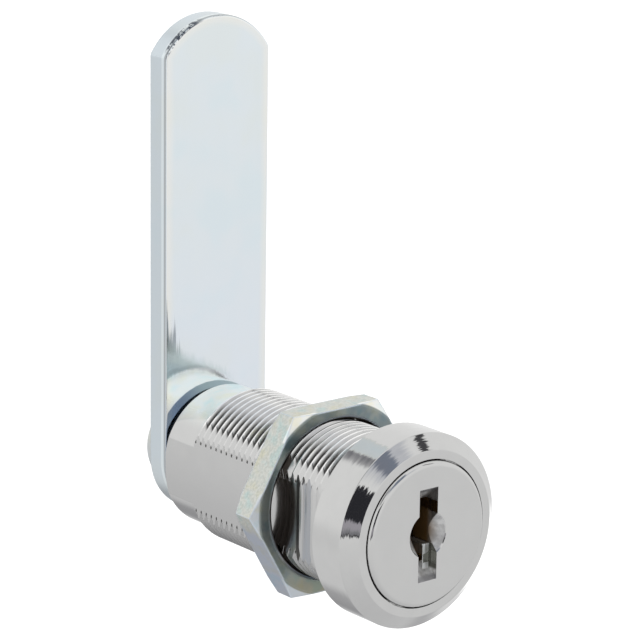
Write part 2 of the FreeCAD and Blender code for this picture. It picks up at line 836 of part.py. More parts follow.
def check_and_write(bodies):
    """Stop on any failed object or faulty shape, then write one STEP file per piece."""
    doc.recompute()
    for item in doc.Objects:
        if "Invalid" in item.State or "Error" in item.State:
            raise RuntimeError(f"{item.Name}: {item.State}")
    for body in bodies:
        if body.Shape.isNull() or not body.Shape.isValid():
            raise RuntimeError(f"{body.Label}: faulty shape")
    os.makedirs("parts", exist_ok=True)
    for body in bodies:
        body.Shape.exportStep(f"parts/{body.Label}.step")
        print(f"{body.Label}: {len(body.Shape.Solids)} solid, {body.Shape.Volume:.1f} mm3")


wafer_numbers = range(len(WAFER_CUTS))
pieces = [make_housing(), make_plug()]
pieces += [make_wafer(index) for index in wafer_numbers]
pieces += [make_wafer_spring(index) for index in wafer_numbers]
pieces += [make_retaining_clip(), make_stop_washer(), make_cam()]
pieces += [make_lock_washer(), make_cam_screw(), make_hex_nut()]
check_and_write(pieces)
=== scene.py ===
import json
import math

import bpy
from mathutils import Matrix, Vector


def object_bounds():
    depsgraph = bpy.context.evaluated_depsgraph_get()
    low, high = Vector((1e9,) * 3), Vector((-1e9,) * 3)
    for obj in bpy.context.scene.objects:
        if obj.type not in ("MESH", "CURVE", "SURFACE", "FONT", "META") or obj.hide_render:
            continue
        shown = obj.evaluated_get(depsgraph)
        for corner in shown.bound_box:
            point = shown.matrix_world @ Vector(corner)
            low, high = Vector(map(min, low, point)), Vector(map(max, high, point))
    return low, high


# A cam lock: chromed head and barrel, key plug, panel nut and a straight cam.
# The lock's axis is Y, the key side looks towards -Y, and the cam stands up along +Z.

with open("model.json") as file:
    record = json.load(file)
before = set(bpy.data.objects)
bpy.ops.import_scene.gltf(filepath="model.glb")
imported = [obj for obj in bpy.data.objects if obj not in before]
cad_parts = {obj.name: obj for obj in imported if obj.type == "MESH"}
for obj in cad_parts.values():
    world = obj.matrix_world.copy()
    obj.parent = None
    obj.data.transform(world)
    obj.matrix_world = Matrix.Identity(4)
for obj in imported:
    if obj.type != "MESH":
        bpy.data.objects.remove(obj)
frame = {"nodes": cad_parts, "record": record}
cad_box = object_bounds()
nodes = frame["nodes"]
record = frame["record"]


def colour(red, green, blue):
    return (red, green, blue, 1.0)


MM = 0.001
WHITE = colour(1.0, 1.0, 1.0)

# Camera, set from the photo: where it looks, from which side, and how long its lens is.
VIEW_TARGET = Vector((-5.99, 5.70, 23.37)) * MM
VIEW_AZIMUTH = math.radians(-39.42)
VIEW_ELEVATION = math.radians(14.73)
VIEW_ROLL = math.radians(0.85)
VIEW_DISTANCE = 331.93 * MM
LENS = 165.6
SENSOR = 36.0
NEAREST = 10 * MM
FARTHEST = 20

# The floor lies a little below the lock, so that its soft shadow falls clear of the lock.
FLOOR_DROP = 28 * MM
FLOOR_SIZE = 1.6
FLOOR_PAPER = colour(0.9, 0.9, 0.9)
FLOOR_GLOW = 0.3

# Room round the lock: its tones, and the elevations in degrees over which they change.
ROOM_LOWEST = colour(0.72, 0.72, 0.725)
ROOM_LOW = colour(0.85, 0.85, 0.85)
ROOM_WALL = colour(0.97, 0.97, 0.965)
LOWEST_TO_LOW = (-75, -15)
LOW_TO_WALL = (-22, 6)
FIRST_MIRROR = 2.5  # ray depth in the world: metal seen in other metal is deeper

# Studio cards round the lock, as its chrome shows them: azimuth and elevation of the middle,
# half width and half height, softness of the rim, all in degrees, and the colour.
CARDS = (
    (-150, -13, 14, 7, 12, (0.80, 0.80, 0.80)),  # side wall
    (156, -38, 27, 9, 20, (0.37, 0.37, 0.38)),  # dark low rear
    (107, -48, 16, 7, 12, (0.57, 0.57, 0.58)),  # low right
    (127, -21, 8, 6, 7, (1.5, 1.5, 1.5)),  # bright strip low right
    (-74, 52, 15, 13, 14, (0.16, 0.16, 0.17)),  # dark upper left
    (6, 43, 27, 6, 16, (0.58, 0.60, 0.66)),  # halo of the overhead panel
    (3, 43, 10, 6, 7, (0.25, 0.27, 0.33)),  # overhead panel
    (-16, 60, 28, 15, 8, (0.24, 0.28, 0.35)),  # ceiling
    (53, 41, 4.6, 9, 2, (0.08, 0.08, 0.085)),  # narrow flag
    (-172, 45, 7, 4, 6, (0.22, 0.22, 0.24)),  # flag behind the cam
    (-42, 0.7, 21, 4.0, 1.4, (0.44, 0.42, 0.46)),  # band below the flag
    (-42, -5.0, 21, 2.2, 3.0, (0.26, 0.26, 0.28)),  # shade under the band
    (-42, -7.3, 21, 0.9, 0.9, (0.05, 0.05, 0.055)),  # dark edge of the shade
    (-38, 16.0, 16, 12.1, 1.2, (0.03, 0.03, 0.036)),  # black flag
)

# Places on the pieces, in millimetres, that the finishes follow.
FLAT = 8.0
THREAD_ROOT = 8.95
THREAD_CREST = 9.5
THREAD_END = 26.7
RIDGE_END = 6.9
BARREL_END = 32.3
FACE = -6.8
KEY_HALF = 3.7
KEY_SIDE = 1.376
GUIDE_RADIUS = 2.75
WARD_SIDE = 0.275
WARD_TOP = -1.5
NUT_FACE = 9.3
NUT_CORNER = 11.4
CAM_FRONT = 32.75
CAM_HALF = 7.725
TIP_RADIUS = 9.0
TIP_CENTRE = 45.0
LINE_DRIFT = 2.2

# Bands in millimetres, low to high, over which the casting's finish changes.
BARREL_START = (0.1, 0.4)
FLAT_FACE = (FLAT - 0.05, FLAT - 0.02)
THREAD_STOP = (THREAD_END - 0.4, THREAD_END)
TIP_START = (THREAD_END - 0.3, THREAD_END)
TIP_SIDE = (4.5, 7.2)
TIP_LOW = (-2.0, 2.0)
UPPER_HALF = (-3.0, 0.0)
GROOVE_START = (3.4, 5.6)
GROOVE_STOP = (6.7, 7.2)
GROOVE_DEPTH = (THREAD_ROOT + 0.22, THREAD_ROOT + 0.50)
PIT_SIDE = (FLAT - 0.2, FLAT - 0.12)
PIT_DEPTH = (THREAD_ROOT + 0.06, THREAD_ROOT + 0.16)
CREST_HEIGHT = (THREAD_ROOT + 0.46, THREAD_ROOT + 0.52)
CREST_SIDE = (6.8, 7.5)
RIDGES_STOP = (RIDGE_END, RIDGE_END + 0.2)
LAST_RIDGE = (RIDGE_END - 1.5, RIDGE_END - 1.2)
VALLEY_HEIGHT = (FLAT + 0.02, FLAT + 0.3)
FLAT_LOW = (-5.0, 4.0)
# Bands on the flat in front of the nut, where the nut's painted reflection lies.
BLUE_REFLECTION_START = (3.9, 4.3)
NUT_REFLECTION_START = (4.0, 5.5)
NUT_REFLECTION_STOP = (NUT_FACE, NUT_FACE + 0.3)
UNDERSIDE = (-8.5, -5.0)
BARREL_STEP = (BARREL_END - 0.64, BARREL_END - 0.62)
STEP_SIDE = (-5.5, -0.5)
BUFFED_SIDE = (6.5, 7.3)
BUFFED_LOW = (-2.5, 0.0)

# The same for the plug.
WARD_LEFT = (WARD_SIDE - 0.02, WARD_SIDE)
WARD_DEPTH = (FACE + 0.02, FACE + 0.1)
WARD_UPPER = (WARD_TOP, WARD_TOP + 0.02)
WARD_LOWER = (KEY_HALF + 0.5, KEY_HALF + 0.9)
WARD_RIGHT = (1.1, 1.3)
KEY_WALL = (KEY_SIDE, KEY_SIDE + 0.02)
PATH_HEIGHT = (KEY_HALF - 0.04, KEY_HALF)
PATH_RADIUS = (GUIDE_RADIUS * 1.6, GUIDE_RADIUS * 1.7)
PATH_DEPTH = (FACE + 0.5, FACE + 2.0)
MOUTH_START = (KEY_HALF + 0.02, KEY_HALF + 0.06)
MOUTH_STOP = (KEY_HALF + 2.0, KEY_HALF + 2.2)
MOUTH_FRONT = (FACE + 0.01, FACE + 0.03)
MOUTH_REAR = (FACE + 2.0, FACE + 2.1)
MOUTH_RIGHT = (0.2, 1.1)
MOUTH_UPPER = (-1.0, 1.0)
MOUTH_EDGE = (KEY_HALF + 1.1, KEY_HALF + 1.5)
GUIDE_REACH = (GUIDE_RADIUS - 0.05, GUIDE_RADIUS)
GUIDE_DEPTH = (FACE + 0.02, FACE + 0.2)

# The same for the cam.
FRONT_FACE = (CAM_FRONT + 0.01, CAM_FRONT + 0.03)
WALL_REACH = (0.02, 0.06)
CREAM_REACH = (0.35, 1.5)
BURNISH_DEPTH = (CAM_FRONT + 1.0, CAM_FRONT + 1.15)
# Where ragged dark marks, a painted reflection, lie on the cam's upper left edge.
MARKS_LEFT = (-7.6, -6.9)
MARKS_RIGHT = (-3.6, -1.8)
MARKS_START = (TIP_CENTRE + 1.0, TIP_CENTRE + 2.5)
MARKS_REACH = (0.26, 0.34)
MARKS_DEPTH = (CAM_FRONT + 0.55, CAM_FRONT + 0.8)
BLUE_HEIGHT = (10.0, 34.0)
STREAK_SIDE = (-7.2, -5.0)
# Where the barrel's painted reflection lies on the cam's front.
REFLECTION_EDGE = (-1.6, 0.6)
REFLECTION_REACH = (9.1, 9.5)
REFLECTION_SIDE = (0.0, 3.5)
REFLECTION_GREY = (12.0, 16.0)
REFLECTION_SLOPE = -0.50
REFLECTION_HEIGHT = 10.6
REFLECTION_CENTRE = (-3.9, 1.9)
CREASE_REACH = (0.10, 0.16)
CREASE_FRONT = (CAM_FRONT + 0.02, CAM_FRONT + 0.1)
CREASE_REAR = (CAM_FRONT + 0.28, CAM_FRONT + 0.36)

# The same for the nut.
NUT_FRONT = (NUT_FACE + 0.04, NUT_FACE + 0.12)
BORE_REACH = (THREAD_CREST + 0.7, THREAD_CREST + 0.75)
BORE_START = (NUT_FACE + 0.12, NUT_FACE + 0.2)
LOW_SIDES = (-3.0, -1.0)
LOWEST_FACE = (-10.0, -7.0)
CORNER_REACH = (NUT_CORNER, NUT_CORNER + 0.1)
CORNER_DEPTH = (NUT_FACE + 0.5, NUT_FACE + 0.55)
CORNER_HEIGHT = (0.0, 9.0)


def make_camera():
    side, rise = VIEW_AZIMUTH, VIEW_ELEVATION
    back = Vector((math.sin(side) * math.cos(rise), -math.cos(side) * math.cos(rise), math.sin(rise)))
    right = Vector((math.cos(side), math.sin(side), 0))
    up = back.cross(right)
    turn = Matrix((right, up, back)).transposed() @ Matrix.Rotation(VIEW_ROLL, 3, "Z")
    data = bpy.data.cameras.new("camera")
    data.lens = LENS
    data.sensor_width = SENSOR
    data.clip_start = NEAREST
    data.clip_end = FARTHEST
    camera = bpy.data.objects.new("camera", data)
    camera.matrix_world = Matrix.Translation(VIEW_TARGET + back * VIEW_DISTANCE) @ turn.to_4x4()
    bpy.context.scene.collection.objects.link(camera)
    bpy.context.scene.camera = camera


class Nodes:
    """Short hand for building one node tree."""

    def __init__(self, tree):
        self.tree = tree

    def add(self, kind, inputs=None, **settings):
        node = self.tree.nodes.new(kind)
        for name, value in settings.items():
            setattr(node, name, value)
        for name, value in (inputs or {}).items():
            self.set(node.inputs[name], value)
        return node

    def set(self, socket, value):
        if isinstance(value, bpy.types.NodeSocket):
            self.tree.links.new(value, socket)
        else:
            socket.default_value = value

    def maths(self, operation, *values):
        node = self.add("ShaderNodeMath", operation=operation)
        for number, value in enumerate(values):
            self.set(node.inputs[number], value)
        return node.outputs[0]

    def vector(self, operation, *values):
        node = self.add("ShaderNodeVectorMath", operation=operation)
        for number, value in enumerate(values):
            self.set(node.inputs[number], value)
        return node.outputs["Value" if operation == "DOT_PRODUCT" else "Vector"]

    def blend(self, amount, first, second, how="MIX"):
        node = self.add("ShaderNodeMix", data_type="RGBA", blend_type=how)
        self.set(node.inputs["Factor"], amount)
        self.set(node.inputs[6], first)
        self.set(node.inputs[7], second)
        return node.outputs[2]

    def between(self, value, low, high, to_low=0.0, to_high=1.0):
        """Rises smoothly from one value to the other while the input crosses a band."""
        node = self.add("ShaderNodeMapRange", interpolation_type="SMOOTHSTEP")
        for name, number in (("Value", value), ("From Min", low), ("From Max", high),
                             ("To Min", to_low), ("To Max", to_high)):
            self.set(node.inputs[name], number)
        return node.outputs["Result"]

    def below(self, value, low, high):
        """1 under a band and 0 over it."""
        return self.between(value, low, high, 1.0, 0.0)

    def outside(self, mask):
        return self.maths("SUBTRACT", 1.0, mask)

    def both(self, *masks):
        """1 only where all the masks are."""
        result = masks[0]
        for mask in masks[1:]:
            result = self.maths("MULTIPLY", result, mask)
        return result

    def distance(self, first, second):
        """Length of a flat vector."""
        return self.maths("SQRT", self.maths("ADD", self.maths("MULTIPLY", first, first),
                                             self.maths("MULTIPLY", second, second)))

    def sway(self, value, middle, amount):
        """Swings to both sides of nought by the given amount."""
        return self.maths("MULTIPLY", self.maths("SUBTRACT", value, middle), amount)

    def noise(self, place, scale, detail=2.0, roughness=0.5):
        node = self.add("ShaderNodeTexNoise", {"Vector": place, "Scale": scale, "Detail": detail,
                                               "Roughness": roughness})
        return node.outputs["Fac"]


def make_world():
    """Soft studio: a pale room with a darker floor half, and the cards that chrome shows.

    The cards stand near the lock, so that metal seen in other metal shows the room alone.
    """
    world = bpy.data.worlds.new("studio")
    world.use_nodes = True
    world.node_tree.nodes.clear()
    n = Nodes(world.node_tree)
    place = n.add("ShaderNodeTexCoord").outputs["Generated"]
    parts = n.add("ShaderNodeSeparateXYZ", {"Vector": place})
    x, y, z = (parts.outputs[axis] for axis in "XYZ")
    azimuth = n.maths("DEGREES", n.maths("ARCTAN2", x, n.maths("MULTIPLY", y, -1.0)))
    elevation = n.maths("DEGREES", n.maths("ARCSINE", z))
    low = n.blend(n.between(elevation, *LOWEST_TO_LOW), ROOM_LOWEST, ROOM_LOW)
    room = n.blend(n.between(elevation, *LOW_TO_WALL), low, ROOM_WALL)
    seen = room
    for card_azimuth, card_elevation, half_width, half_height, softness, tone in CARDS:
        aside = n.maths("WRAP", n.maths("SUBTRACT", azimuth, card_azimuth), 180.0, -180.0)
        above = n.maths("SUBTRACT", elevation, card_elevation)
        mask = n.both(*(
            n.below(n.maths("ABSOLUTE", offset), half - softness / 2, half + softness / 2)
            for offset, half in ((aside, half_width), (above, half_height))))
        seen = n.blend(mask, seen, colour(*tone))
    light = n.add("ShaderNodeLightPath")
    first = n.maths("LESS_THAN", light.outputs["Ray Depth"], FIRST_MIRROR)
    mirrored = n.blend(first, room, seen)
    flat = n.blend(light.outputs["Is Glossy Ray"], WHITE, mirrored)
    sky = n.add("ShaderNodeBackground", {"Color": flat, "Strength": 1.0})
    n.add("ShaderNodeOutputWorld", {"Surface": sky.outputs["Background"]})
    bpy.context.scene.world = world


def make_floor():
    """Pale paper under the lock, which metal doesn't mirror."""
    low = cad_box[0][2] - FLOOR_DROP
    half = FLOOR_SIZE / 2
    mesh = bpy.data.meshes.new("floor")
    corners = [(-half, -half, low), (half, -half, low), (half, half, low), (-half, half, low)]
    mesh.from_pydata(corners, [], [(0, 1, 2, 3)])
    floor = bpy.data.objects.new("floor", mesh)
    bpy.context.scene.collection.objects.link(floor)
    material = bpy.data.materials.new("floor_paper")
    material.use_nodes = True
    material.node_tree.nodes.clear()
    n = Nodes(material.node_tree)
    paper = n.add("ShaderNodeBsdfDiffuse", {"Color": FLOOR_PAPER})
    glow = n.add("ShaderNodeEmission", {"Color": WHITE, "Strength": FLOOR_GLOW})
    lit = n.add("ShaderNodeAddShader")
    n.set(lit.inputs[0], paper.outputs[0])
    n.set(lit.inputs[1], glow.outputs[0])
    clear = n.add("ShaderNodeBsdfTransparent")
    light = n.add("ShaderNodeLightPath")
    shown = n.add("ShaderNodeMixShader", {"Fac": light.outputs["Is Glossy Ray"]})
    n.set(shown.inputs[1], lit.outputs[0])
    n.set(shown.inputs[2], clear.outputs[0])
    n.add("ShaderNodeOutputMaterial", {"Surface": shown.outputs[0]})
    mesh.materials.append(material)


def new_group(name, inputs, outputs):
    """Empty effect with named sockets: its tree, its nodes, what it is given and what it returns."""
    tree = bpy.data.node_groups.new(name, "ShaderNodeTree")
    for label, kind, number in inputs:
        socket = tree.interface.new_socket(label, in_out="INPUT", socket_type=f"NodeSocket{kind}")
        if number is not None:
            socket.default_value = number
    for label, kind in outputs:
        tree.interface.new_socket(label, in_out="OUTPUT", socket_type=f"NodeSocket{kind}")
    n = Nodes(tree)
    return tree, n, n.add("NodeGroupInput").outputs, n.add("NodeGroupOutput").inputs


def lathe_place(n):
    """Place on a piece in millimetres: the point, its x, y and z, and its distance from the axis."""
    point = n.vector("MULTIPLY", n.add("ShaderNodeTexCoord").outputs["Object"], (1 / MM,) * 3)
    parts = n.add("ShaderNodeSeparateXYZ", {"Vector": point})
    x, y, z = (parts.outputs[axis] for axis in "XYZ")
    return point, x, y, z, n.distance(x, z)


def tilt_normal(n, normal, *tilts):
    """Normal leaned along the piece's own directions, each given with its amount."""
    for way, amount in tilts:
        turned = n.add("ShaderNodeVectorTransform", {"Vector": way}, vector_type="VECTOR",
                       convert_from="OBJECT", convert_to="WORLD")
        scaled = n.add("ShaderNodeVectorMath", {"Vector": turned.outputs[0], "Scale": amount},
                       operation="SCALE")
        normal = n.vector("ADD", normal, scaled.outputs["Vector"])
    return n.vector("NORMALIZE", normal)


def make_worn_edges():
    """Edges rounded by tumbling and plating, with a mask that is 1 on them."""
    tree, n, given, result = new_group(
        "worn_edges", [("Radius", "Float", 0.12)], [("Normal", "Vector"), ("Edge", "Float")])
    reach = n.maths("MULTIPLY", given["Radius"], MM)
    rounded = n.add("ShaderNodeBevel", {"Radius": reach}, samples=6).outputs["Normal"]
    facing = n.vector("DOT_PRODUCT", rounded, n.add("ShaderNodeNewGeometry").outputs["Normal"])
    n.set(result["Normal"], rounded)
    n.set(result["Edge"], n.below(facing, 0.9, 0.998))
    return tree


def make_polish_lines():
    """Fine lines that a polishing wheel leaves round the axis; they fray what the chrome mirrors."""
    tree, n, given, result = new_group(
        "polish_lines",
        [("Normal", "Vector", None), ("Line Width", "Float", 0.15), ("Fray", "Float", 0.05),
         ("Ripple", "Float", 0.01)],
        [("Normal", "Vector"), ("Lines", "Float")])
    point, x, y, z, radius = lathe_place(n)
    fine = n.maths("DIVIDE", 1.0, given["Line Width"])
    along = n.vector("DIVIDE", point, n.add("ShaderNodeCombineXYZ", {
        "X": radius, "Y": 1 / MM, "Z": radius}).outputs[0])
    turned = n.add("ShaderNodeSeparateXYZ", {"Vector": along}).outputs
    line = n.add("ShaderNodeCombineXYZ", {
        "X": n.maths("MULTIPLY_ADD", radius, fine, n.maths("MULTIPLY", turned["X"], LINE_DRIFT)),
        "Y": n.maths("MULTIPLY_ADD", y, fine, n.maths("MULTIPLY", turned["Z"], LINE_DRIFT)),
        "Z": n.maths("MULTIPLY", turned["X"], LINE_DRIFT)}).outputs[0]
    lines = n.noise(line, 1.0, 2.0, 0.6)
    swell = n.noise(line, 0.31, 1.0)
    round_way = n.add("ShaderNodeCombineXYZ", {
        "X": turned["Z"], "Z": n.maths("MULTIPLY", turned["X"], -1.0)}).outputs[0]
    out_way = n.add("ShaderNodeCombineXYZ", {
        "X": turned["X"], "Y": 1.0, "Z": turned["Z"]}).outputs[0]
    n.set(result["Normal"], tilt_normal(n, given["Normal"],
                                        (round_way, n.sway(lines, 0.5, given["Fray"])),
                                        (out_way, n.sway(swell, 0.5, given["Ripple"]))))
    n.set(result["Lines"], lines)
    return tree


def make_plate_clouds():
    """Faint straw and blue clouds of a passivated zinc plate, and its fine spotting."""
    blue_cloud, straw_cloud = colour(0.84, 0.97, 1.0), colour(1.0, 0.97, 0.86)
    tree, n, given, result = new_group(
        "plate_clouds",
        [("Cloud Size", "Float", 4.0), ("Strength", "Float", 0.5), ("Spot Size", "Float", 0.35)],
        [("Tint", "Color"), ("Spots", "Float")])
    point = lathe_place(n)[0]
    clouds = n.noise(point, n.maths("DIVIDE", 1.0, given["Cloud Size"]), 3.0, 0.55)
    spots = n.noise(point, n.maths("DIVIDE", 1.0, given["Spot Size"]), 2.0, 0.6)
    cool = n.blend(n.between(clouds, 0.34, 0.5), blue_cloud, WHITE)
    tinted = n.blend(n.between(clouds, 0.5, 0.66), cool, straw_cloud)
    n.set(result["Tint"], n.blend(given["Strength"], WHITE, tinted))
    n.set(result["Spots"], spots)
    return tree


def place_group(n, tree, inputs):
    return n.add("ShaderNodeGroup", inputs, node_tree=tree).outputs


def new_metal(name):
    """Plain metal whose colour, roughness and normal the finish then gives."""
    material = bpy.data.materials.new(name)
    material.use_nodes = True
    material.node_tree.nodes.clear()
    n = Nodes(material.node_tree)
    shader = n.add("ShaderNodeBsdfPrincipled", {"Metallic": 1.0})
    n.add("ShaderNodeOutputMaterial", {"Surface": shader.outputs[0]})
    return material, n, shader.inputs


def make_casting_finish():
    """Bright chrome on the head; a duller barrel with painted shade in the thread grooves and painted
    highlights on the thread crests.
    """
    chrome, pale_chrome = colour(0.60, 0.60, 0.598), colour(0.65, 0.65, 0.645)
    satin_plate = colour(0.96, 0.985, 0.945)
    shaded_low_flat, shaded_underside = colour(0.53, 0.53, 0.53), colour(0.24, 0.24, 0.245)
    reflected_blue_flat, reflected_nut_tone = colour(0.40, 0.42, 0.45), colour(0.44, 0.43, 0.42)
    painted_crest_highlight, painted_groove_shade = colour(0.97, 0.965, 0.96), colour(0.085, 0.083, 0.08)
    shaded_step, lit_step = colour(0.22, 0.27, 0.35), colour(0.46, 0.54, 0.54)

    material, n, shader = new_metal("chrome_casting")
    point, x, y, z, radius = lathe_place(n)
    aside = n.maths("ABSOLUTE", x)
    edges = place_group(n, worn_edges, {"Radius": 0.07})
    polish = place_group(n, polish_lines, {"Normal": edges["Normal"], "Line Width": 0.14,
                                           "Fray": 0.11, "Ripple": 0.035})
    plate = place_group(n, plate_clouds, {"Cloud Size": 2.6, "Strength": 0.75, "Spot Size": 0.3})

    barrel = n.between(y, *BARREL_START)
    flat = n.both(barrel, n.between(aside, *FLAT_FACE))
    round_part = n.both(barrel, n.outside(flat))
    thread = n.both(round_part, n.below(y, *THREAD_STOP))
    tip = n.both(round_part, n.between(y, *TIP_START), n.below(aside, *TIP_SIDE),
                 n.between(z, *TIP_LOW))
    upper = n.between(z, *UPPER_HALF)
    # Grooves, pits at their ends and the last ridge valley are painted near black: painted shade in
    # the hollows.
    shaded = n.both(n.between(aside, *GROOVE_START, 0.1, 1.0), n.below(aside, *GROOVE_STOP))
    groove = n.both(thread, upper, shaded, n.below(radius, *GROOVE_DEPTH))
    pit = n.both(thread, n.between(aside, *PIT_SIDE), n.below(radius, *PIT_DEPTH))
    crest = n.both(thread, upper, n.between(radius, *CREST_HEIGHT),
                   n.between(aside, *CREST_SIDE, 1.0, 0.2))
    ridges = n.both(flat, n.below(y, *RIDGES_STOP))
    last_valley = n.both(ridges, n.below(aside, *VALLEY_HEIGHT), n.between(y, *LAST_RIDGE))
    dark = n.maths("MAXIMUM", n.maths("MAXIMUM", groove, pit), last_valley)
    blue_reflection = n.both(ridges, n.between(y, *BLUE_REFLECTION_START), n.below(y, *LAST_RIDGE))
    drawn = n.noise(n.vector("MULTIPLY", point, (1.0, 2.4, 0.07)), 1.0, 3.0, 0.6)
    nut_reflection = n.both(flat, n.between(y, *NUT_REFLECTION_START), n.below(y, *NUT_REFLECTION_STOP),
                    n.between(drawn, 0.42, 0.6))
    under = n.both(round_part, n.below(z, *UNDERSIDE))
    step = n.both(n.outside(flat), n.between(y, *BARREL_STEP))

    tone = n.blend(n.noise(point, 0.5, 3.0), chrome, pale_chrome)
    # The flat's lower part is painted darker: painted shade.
    tone = n.blend(n.both(flat, n.below(z, *FLAT_LOW)), tone, shaded_low_flat)
    # Blue-grey band on the ridged flat: painted reflection of the nut's face.
    tone = n.blend(blue_reflection, tone, reflected_blue_flat)
    # Darker streaky tone on the flat up to the nut's face: painted reflection of the nut, broken into
    # drawn streaks.
    tone = n.blend(nut_reflection, tone, reflected_nut_tone)
    # The barrel's underside is painted dark grey: painted shade.
    tone = n.blend(under, tone, shaded_underside)
    tone = n.blend(tip, tone, n.blend(1.0, satin_plate, plate["Tint"], "MULTIPLY"))
    # Crests on the upper half are painted near white: painted highlight.
    tone = n.blend(crest, tone, painted_crest_highlight)
    tone = n.blend(dark, tone, painted_groove_shade)
    # The step at the barrel's end is painted dark blue on the left and paler on the right: painted
    # reflection of the dark gap before the cam.
    shade = n.blend(n.between(x, *STEP_SIDE), shaded_step, lit_step)
    n.set(shader["Base Color"], n.blend(step, tone, shade))

    rough = n.maths("MULTIPLY_ADD", barrel, 0.05, 0.045)
    rough = n.maths("MULTIPLY_ADD", flat, 0.06, rough)
    rough = n.maths("MULTIPLY_ADD", tip, 0.22, rough)
    rough = n.maths("MULTIPLY_ADD", dark, 0.12, rough)
    n.set(shader["Roughness"], n.maths("MULTIPLY_ADD", polish["Lines"], 0.02, rough))

    buffed = n.maths("MAXIMUM", n.between(aside, *BUFFED_SIDE, 0.0, 3.0),
                     n.between(z, *BUFFED_LOW, 3.0, 0.0))
    outward = n.vector("NORMALIZE", n.add("ShaderNodeCombineXYZ", {"X": x, "Z": z}).outputs[0])
    aside_way = n.add("ShaderNodeCombineXYZ", {"X": n.maths("SIGN", x)}).outputs[0]
    calm = n.both(ridges, n.below(y, *LAST_RIDGE))
    worn = tilt_normal(n, edges["Normal"], (outward, n.both(thread, buffed)),
                       (aside_way, n.maths("MULTIPLY", calm, 1.5)))
    smooth = n.add("ShaderNodeMix", {"Factor": barrel}, data_type="VECTOR")
    n.set(smooth.inputs[4], polish["Normal"])
    n.set(smooth.inputs[5], worn)
    n.set(shader["Normal"], smooth.outputs[1])
    return material


def make_plug_finish():
    """Chrome face with faint turning lines, a hammered key guide and a key path painted dark brown:
    brass tone with painted shade.
    """
    chrome, pale_chrome = colour(0.60, 0.60, 0.598), colour(0.64, 0.64, 0.635)
    hollow, bump = colour(0.50, 0.50, 0.50), colour(0.74, 0.74, 0.74)
    scratch, ward_metal = colour(0.36, 0.36, 0.35), colour(0.74, 0.76, 0.76)
    ward_shade, shaded_path_brown = colour(0.16, 0.16, 0.14), colour(0.21, 0.125, 0.05)
    mouth_hollow, mouth_bump = colour(0.50, 0.49, 0.48), colour(0.78, 0.78, 0.78)
    mouth_shade, dark_rim_reflection = colour(0.14, 0.13, 0.12), colour(0.20, 0.20, 0.22)

    material, n, shader = new_metal("chrome_plug")
    point, x, y, z, radius = lathe_place(n)
    edges = place_group(n, worn_edges, {"Radius": 0.08})
    polish = place_group(n, polish_lines, {"Normal": edges["Normal"], "Line Width": 0.18,
                                           "Fray": 0.05, "Ripple": 0.03})

    tall = n.maths("ABSOLUTE", z)
    ward = n.both(n.between(x, *WARD_LEFT), n.below(x, *KEY_WALL), n.between(y, *WARD_DEPTH),
                  n.below(z, *WARD_UPPER), n.below(tall, *WARD_LOWER))
    inside = n.both(n.below(tall, *PATH_HEIGHT), n.below(radius, *PATH_RADIUS),
                    n.between(y, *PATH_DEPTH), n.outside(ward))
    mouth = n.both(n.below(n.maths("ABSOLUTE", x), *KEY_WALL), n.between(tall, *MOUTH_START),
                   n.below(tall, *MOUTH_STOP), n.between(y, *MOUTH_FRONT),
                   n.below(y, *MOUTH_REAR))
    guide = n.both(n.below(radius, *GUIDE_REACH), n.between(y, *GUIDE_DEPTH))

    hammered = n.noise(point, 1.1, 3.0, 0.6)
    drawn = n.noise(n.vector("MULTIPLY", point, (4.5, 1.0, 0.25)), 1.0, 3.0, 0.6)
    mottled = n.blend(n.between(hammered, 0.3, 0.7), hollow, bump)
    scraped = n.blend(n.between(drawn, 0.3, 0.55), scratch, ward_metal)
    scraped = n.blend(n.between(x, *WARD_RIGHT), scraped, ward_shade)
    ramp = n.blend(n.between(hammered, 0.35, 0.65), mouth_hollow, mouth_bump)
    upper_right = n.both(n.between(x, *MOUTH_RIGHT, 0.0, 0.6), n.between(z, *MOUTH_UPPER))
    ramp = n.blend(upper_right, ramp, mouth_shade)
    # The ramp turns darker towards its outer rim: painted dark reflection.
    ramp = n.blend(n.between(tall, *MOUTH_EDGE, 0.0, 0.6), ramp, dark_rim_reflection)

    tone = n.blend(n.noise(point, 0.35, 3.0), chrome, pale_chrome)
    tone = n.blend(guide, tone, mottled)
    tone = n.blend(mouth, tone, ramp)
    tone = n.blend(ward, tone, scraped)
    # Inside the key path the chrome is painted dark brown: brass tone with painted shade of the deep
    # keyway.
    n.set(shader["Base Color"], n.blend(inside, tone, shaded_path_brown))

    rough = n.maths("MULTIPLY_ADD", guide, 0.36, 0.06)
    rough = n.maths("MULTIPLY_ADD", mouth, 0.5, rough)
    rough = n.maths("MULTIPLY_ADD", inside, 0.4, rough)
    n.set(shader["Roughness"], n.maths("MULTIPLY_ADD", polish["Lines"], 0.03, rough))
    n.set(shader["Normal"], polish["Normal"])
    return material


